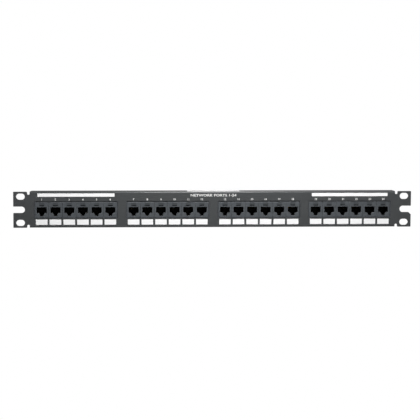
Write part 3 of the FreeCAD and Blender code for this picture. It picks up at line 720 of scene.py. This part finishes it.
class MeshParts:
    """Vertices and faces gathered from many like shapes."""

    def __init__(self):
        self.vertices = []
        self.faces = []

    def add(self, vertices, faces):
        start = len(self.vertices)
        self.vertices += vertices
        self.faces += [[start + i for i in face] for face in faces]

    def turned(self, centre, profile, sides, outward):
        """A round shape about Y from (radius, height) pairs, closed at its last point."""
        rings = []
        for radius, height in profile[:-1]:
            ring = []
            for i in range(sides):
                angle = 2 * math.pi * i / sides
                ring.append(centre + Vector((
                    radius * math.cos(angle), outward * height, radius * math.sin(angle)
                )))
            rings.append(ring)
        vertices = [v for ring in rings for v in ring]
        tip = len(vertices)
        vertices.append(centre + Vector((0, outward * profile[-1][1], 0)))
        faces = []
        for r in range(len(rings) - 1):
            for i in range(sides):
                j = (i + 1) % sides
                faces.append(
                    [r * sides + i, r * sides + j, (r + 1) * sides + j, (r + 1) * sides + i]
                )
        last = (len(rings) - 1) * sides
        faces += [[last + i, last + (i + 1) % sides, tip] for i in range(sides)]
        faces.append(list(range(sides))[::-1])
        if outward > 0:
            faces = [face[::-1] for face in faces]
        self.add(vertices, faces)

    def strip(self, points, width, y_low, y_high):
        """A flat track along (x, z) points, with mitred corners."""
        sides = []
        for i, point in enumerate(points):
            before = (point - points[i - 1]).normalized() if i else None
            after = (points[i + 1] - point).normalized() if i + 1 < len(points) else None
            along = ((before or after) + (after or before)).normalized()
            across = Vector((-along.y, along.x))
            reach = width / 2 / max(0.3, along.dot(after or before))
            sides.append((point + across * reach, point - across * reach))
        vertices = [
            Vector((p.x, y, p.y))
            for left, right in sides
            for p in (left, right)
            for y in (y_low, y_high)
        ]
        faces = [[0, 1, 3, 2]]
        for i in range(len(sides) - 1):
            a, b = 4 * i, 4 * (i + 1)
            faces += [
                [a, b, b + 1, a + 1], [a + 1, b + 1, b + 3, a + 3],
                [a + 3, b + 3, b + 2, a + 2], [a + 2, b + 2, b, a],
            ]
        end = 4 * (len(sides) - 1)
        faces.append([end, end + 2, end + 3, end + 1])
        self.add(vertices, faces)

    def writing(self, text, centre, height, depth, facing, width=None, weight=0.0):
        """Raised letters in the built-in font. facing is -1 to face the front, +1 the rear."""
        curve = bpy.data.curves.new("writing", "FONT")
        curve.body = text
        curve.align_x = "CENTER"
        curve.offset = weight
        curve.extrude = 0.5
        curve.resolution_u = 6
        holder = bpy.data.objects.new("writing", curve)
        mesh = bpy.data.meshes.new_from_object(holder)
        low = Vector([min(v.co[k] for v in mesh.vertices) for k in range(3)])
        high = Vector([max(v.co[k] for v in mesh.vertices) for k in range(3)])
        middle = (low + high) / 2
        rise = height / (high.y - low.y)
        stretch = width / (high.x - low.x) if width else rise
        vertices = []
        for v in mesh.vertices:
            x, y, z = v.co - middle
            turned = Vector((-facing * stretch * x, facing * depth * z, rise * y))
            vertices.append(centre + turned)
        self.add(vertices, [list(p.vertices) for p in mesh.polygons])
        bpy.data.objects.remove(holder)
        bpy.data.meshes.remove(mesh)
        bpy.data.curves.remove(curve)

    def piece(self, name, material, slot, smooth=False):
        return add_piece(name, self.vertices, self.faces, material, smooth)


# ---- Operators, one for each kind of piece ----

class PANEL_OT_finish_front(bpy.types.Operator):
    """Powder coat the folded steel front"""

    bl_idname = "patch_panel.finish_front"
    bl_label = "Finish the front panel"

    def execute(self, context):
        steel = context.scene.patch_panel.steel
        dress("front_panel", powder_coat(steel))
        soften("front_panel", steel.edge_round)
        return {"FINISHED"}


class PANEL_OT_print_front(bpy.types.Operator):
    """Print the port numbers and the title on the front"""

    bl_idname = "patch_panel.print_front"
    bl_label = "Print the front"

    def execute(self, context):
        printing = context.scene.patch_panel.printing
        ink = printed_ink("front_ink", printing.ink)
        face = PANEL_LOW.y - printing.ink_depth / 2
        number_z = HOUSING_HIGH.z + NUMBER_RISE
        numbers = MeshParts()
        for number, port in enumerate(PORTS, 1):
            centre = Vector((port.x, face, number_z))
            numbers.writing(
                str(number), centre, printing.number_height, printing.ink_depth, -1,
                weight=NUMBER_WEIGHT,
            )
        numbers.piece("port_numbers", ink, "label_white")
        title = MeshParts()
        title_z = (GROUP_LOW.z + GROUP_HIGH.z) / 2 - TITLE_DROP
        title.writing(
            printing.title, Vector((0, face, title_z)), printing.title_height,
            printing.ink_depth, -1, width=printing.title_width, weight=TITLE_WEIGHT,
        )
        title.piece("panel_title", ink, "label_white")
        return {"FINISHED"}


class PANEL_OT_finish_labels(bpy.types.Operator):
    """Finish the write-on labels and the colour-code strips"""

    bl_idname = "patch_panel.finish_labels"
    bl_label = "Finish the labels"

    def execute(self, context):
        film = label_film(context.scene.patch_panel.printing)
        for node in ("port_labels", "group_labels", "flange_label"):
            dress(node, film)
        dress("wiring_labels", wiring_print())
        return {"FINISHED"}


class PANEL_OT_finish_jacks(bpy.types.Operator):
    """Finish the bezels, jack housings and contact carriers"""

    bl_idname = "patch_panel.finish_jacks"
    bl_label = "Finish the jacks"

    def execute(self, context):
        moulding = context.scene.patch_panel.moulding
        # The jack material carries real moulding colour and a painted shade inside the bores
        jack = moulded(
            "jack_moulding_and_bore_shade", moulding.jack_colour, moulding, bore_shade=moulding.bore_colour
        )
        carrier = moulded("carrier_moulding", moulding.carrier_colour, moulding, gloss=0.08)
        bezel = moulded("bezel_moulding", moulding.bezel_colour, moulding)
        for stem, material in (("module_bezel", bezel), ("jack_housings", jack)):
            for node in family(stem):
                dress(node, material)
                soften(node, moulding.edge_round)
        for node in family("contact_carriers"):
            dress(node, carrier)
        return {"FINISHED"}


class PANEL_OT_finish_contacts(bpy.types.Operator):
    """Plate the spring contacts and their fixed leads"""

    bl_idname = "patch_panel.finish_contacts"
    bl_label = "Finish the contacts"

    def execute(self, context):
        contacts = context.scene.patch_panel.contacts
        gold = plated("gold_plate", contacts.gold, 0.22, (1.0, 0.06, 0.06), 0.0000015)
        springs = [node for node in frame["nodes"] if node.startswith("spring_contacts_")]
        for node in springs + family("contact_leads"):
            dress(node, gold)
        return {"FINISHED"}


def track_points(lead_x, slot_x, side):
    """From a lead's pad, a slant at 45 degrees, then straight to its slot in the block."""
    start = LEAD_ROW + TRACK_START
    turn = start + abs(slot_x - lead_x)
    end = max(BLOCK_HIGH.z - BLOCK_HEIGHT, turn + TRACK_END)
    points = [(lead_x, LEAD_ROW), (lead_x, start), (slot_x, turn), (slot_x, end)]
    if abs(slot_x - lead_x) < TRACK_IN_LINE:
        points = [points[0], points[3]]
    return [Vector((x, side * z)) for x, z in points]


class PANEL_OT_finish_boards(bpy.types.Operator):
    """Finish the circuit boards, with tracks, pads, solder and printing"""

    bl_idname = "patch_panel.finish_boards"
    bl_label = "Finish the boards"

    def execute(self, context):
        settings = context.scene.patch_panel
        boards = settings.boards
        laminate = board_laminate(boards)
        copper = masked_copper(boards)
        solder = plated("solder", settings.contacts.solder, 0.24, (1.0, 1.0, 1.0), 0.000004)
        legend = printed_ink("board_ink", settings.printing.ink)
        for number, module in zip(MODULE_NUMBERS, MODULES):
            dress(f"circuit_board_{number}", laminate)
            ports = PORTS[(number - 1) * PORTS_PER_MODULE:number * PORTS_PER_MODULE]
            self.tracks(number, module, ports, boards, copper)
            self.solder_joints(number, module, ports, boards, solder)
            self.legend(number, module, legend, settings.printing)
        return {"FINISHED"}

    def tracks(self, number, module, ports, boards, copper):
        parts = MeshParts()
        for side in (1, -1):
            leads = sorted(p.x + x for p in ports for x, z in LEAD_PLACES if z * side > 0)
            for lead_x, slot in zip(leads, SLOT_PLACES):
                points = track_points(lead_x, module.x + slot, side)
                top = BOARD_HIGH.y + boards.track_height
                parts.strip(points, boards.track_width, BOARD_HIGH.y, top)
        parts.piece(f"board_tracks_{number}", copper, "circuit_board")

    def solder_joints(self, number, module, ports, boards, solder):
        lead_profile = [
            (boards.pad_radius, 0.0), (boards.pad_radius, 0.05 * MM), (0.50 * MM, 0.08 * MM),
            (0.40 * MM, 0.18 * MM), (0.34 * MM, 0.34 * MM), (0.30 * MM, 0.52 * MM),
            (0.0, 0.58 * MM),
        ]
        fork_profile = [
            (0.85 * MM, 0.0), (0.85 * MM, 0.05 * MM), (0.72 * MM, 0.09 * MM),
            (0.58 * MM, 0.20 * MM), (0.49 * MM, 0.36 * MM), (0.44 * MM, 0.55 * MM),
            (0.0, 0.62 * MM),
        ]
        joints = MeshParts()
        for port in ports:
            for x, z in LEAD_PLACES:
                joints.turned(
                    Vector((port.x + x, BOARD_HIGH.y, z)), lead_profile, SOLDER_SIDES, 1
                )
        for x in SLOT_PLACES:
            for side in (1, -1):
                centre = Vector((module.x + x, BOARD_LOW.y, side * ROW_Z))
                joints.turned(centre, fork_profile, SOLDER_SIDES, -1)
        joints.piece(f"solder_joints_{number}", solder, "idc_fork", smooth=True)

    def legend(self, number, module, ink, printing):
        parts = MeshParts()
        face = BOARD_HIGH.y + printing.ink_depth / 2
        edge_z = (BOARD_HIGH.z + BLOCK_HIGH.z) / 2
        first = (number - 1) * PORTS_PER_MODULE + 1
        for row, side in enumerate((1, -1)):
            for column, x in enumerate(centred(BLOCKS_PER_ROW, BLOCK_PITCH)):
                port = first + row * BLOCKS_PER_ROW + column
                centre = Vector((module.x + x, face, side * edge_z))
                parts.writing(
                    str(port), centre, LEGEND_HEIGHT, printing.ink_depth, 1, weight=LEGEND_WEIGHT
                )
        parts.piece(f"board_legend_{number}", ink, "label_white")


class PANEL_OT_finish_punch_down(bpy.types.Operator):
    """Finish the punch-down blocks and their forks"""

    bl_idname = "patch_panel.finish_punch_down"
    bl_label = "Finish the punch-down blocks"

    def execute(self, context):
        settings = context.scene.patch_panel
        moulding = settings.moulding
        block = moulded("block_moulding", moulding.block_colour, moulding, gloss=0.06)
        tin = plated("tin_plate", settings.contacts.tin, 0.30, (1.0, 0.08, 1.0), 0.000002)
        for node in family("idc_blocks"):
            dress(node, block)
            soften(node, moulding.edge_round)
        for node in family("idc_forks"):
            dress(node, tin)
        return {"FINISHED"}


class PANEL_OT_finish_fasteners(bpy.types.Operator):
    """Plate the standoffs and screws"""

    bl_idname = "patch_panel.finish_fasteners"
    bl_label = "Finish the fasteners"

    def execute(self, context):
        contacts = context.scene.patch_panel.contacts
        zinc = plated("zinc_plate", contacts.zinc, 0.30, (0.3, 1.0, 0.3), 0.000002)
        for node in ("standoffs", "module_screws"):
            dress(node, zinc)
            soften(node, FASTENER_EDGE)
        return {"FINISHED"}


def softbox(name, place_at, aim, size, energy):
    """A white area light that the camera does not see."""
    light = bpy.data.lights.new(name, "AREA")
    light.shape = "RECTANGLE"
    light.size, light.size_y = size
    light.energy = energy
    lamp = bpy.data.objects.new(name, light)
    lamp.location = place_at
    lamp.rotation_euler = (Vector(aim) - Vector(place_at)).to_track_quat("-Z", "Y").to_euler()
    lamp.visible_camera = False
    bpy.context.scene.collection.objects.link(lamp)


class PANEL_OT_set_stage(bpy.types.Operator):
    """Set the floor, the soft lights and the camera"""

    bl_idname = "patch_panel.set_stage"
    bl_label = "Set the stage"

    def execute(self, context):
        scene = context.scene
        studio = scene.patch_panel.studio
        self.floor(studio)
        self.sky(scene)
        for light in SOFTBOXES:
            softbox(*light)
        self.camera(scene, studio)
        return {"FINISHED"}

    def floor(self, studio):
        half = FLOOR_HALF
        z = PANEL_LOW.z - studio.floor_drop
        corners = [(-half, -half, z), (half, -half, z), (half, half, z), (-half, half, z)]
        mesh = bpy.data.meshes.new("floor")
        mesh.from_pydata(corners, [], [(0, 1, 2, 3)])
        mesh.materials.append(studio_floor(studio))
        floor = bpy.data.objects.new("floor", mesh)
        bpy.context.scene.collection.objects.link(floor)

    def sky(self, scene):
        world = bpy.data.worlds.new("studio")
        scene.world = world
        world.use_nodes = True
        tree = world.node_tree
        direction = add(tree, "ShaderNodeTexCoord").outputs["Generated"]
        up = add(tree, "ShaderNodeSeparateXYZ", {0: direction}).outputs["Z"]
        above = sum_of(tree, "MAXIMUM", up, 0.0)
        ceiling = sum_of(tree, "MULTIPLY_ADD", above, SKY_RISE, SKY_BASE)
        seen = add(tree, "ShaderNodeLightPath").outputs["Is Camera Ray"]
        strength = sum_of(tree, "MAXIMUM", seen, ceiling)
        backdrop = tree.nodes["Background"]
        backdrop.inputs["Color"].default_value = WHITE
        tree.links.new(strength, backdrop.inputs["Strength"])
        scene.view_settings.view_transform = "Standard"

    def camera(self, scene, studio):
        """The aim is a little left of the middle, so the panel stands a little right of it."""
        back = Vector((
            -math.sin(studio.turn) * math.cos(studio.rise),
            -math.cos(studio.turn) * math.cos(studio.rise),
            math.sin(studio.rise),
        ))
        data = bpy.data.cameras.new("camera")
        data.lens = studio.lens
        data.sensor_width = SENSOR_WIDTH
        data.clip_end = FAR_LIMIT
        camera = bpy.data.objects.new("camera", data)
        camera.location = CAMERA_AIM + back * studio.distance
        look = (-back).to_track_quat("-Z", "Y").to_matrix()
        camera.rotation_euler = (look @ Matrix.Rotation(-studio.roll, 3, "Z")).to_euler()
        scene.collection.objects.link(camera)
        scene.camera = camera


OPERATORS = (
    PANEL_OT_finish_front, PANEL_OT_print_front, PANEL_OT_finish_labels, PANEL_OT_finish_jacks,
    PANEL_OT_finish_contacts, PANEL_OT_finish_boards, PANEL_OT_finish_punch_down,
    PANEL_OT_finish_fasteners, PANEL_OT_set_stage,
)


class PANEL_PT_sidebar(bpy.types.Panel):
    """Lists the settings and the steps"""

    bl_label = "Patch panel"
    bl_idname = "PANEL_PT_sidebar"
    bl_space_type = "VIEW_3D"
    bl_region_type = "UI"
    bl_category = "Patch panel"

    def draw(self, context):
        layout = self.layout
        settings = context.scene.patch_panel
        for group in ("steel", "moulding", "contacts", "boards", "printing", "studio"):
            column = layout.box().column()
            column.label(text=group.capitalize())
            values = getattr(settings, group)
            for name in type(values).__annotations__:
                column.prop(values, name)
        for operator in OPERATORS:
            layout.operator(operator.bl_idname)


CLASSES = (
    SteelSettings, MouldingSettings, ContactSettings, BoardSettings, PrintSettings,
    StudioSettings, PanelSettings, *OPERATORS, PANEL_PT_sidebar,
)


def register():
    for cls in CLASSES:
        bpy.utils.register_class(cls)
    bpy.types.Scene.patch_panel = PointerProperty(type=PanelSettings)


def unregister():
    del bpy.types.Scene.patch_panel
    for cls in reversed(CLASSES):
        bpy.utils.unregister_class(cls)


def main():
    register()
    for operator in OPERATORS:
        prefix, step = operator.bl_idname.split(".")
        getattr(getattr(bpy.ops, prefix), step)()


if __name__ == "__main__":
    main()
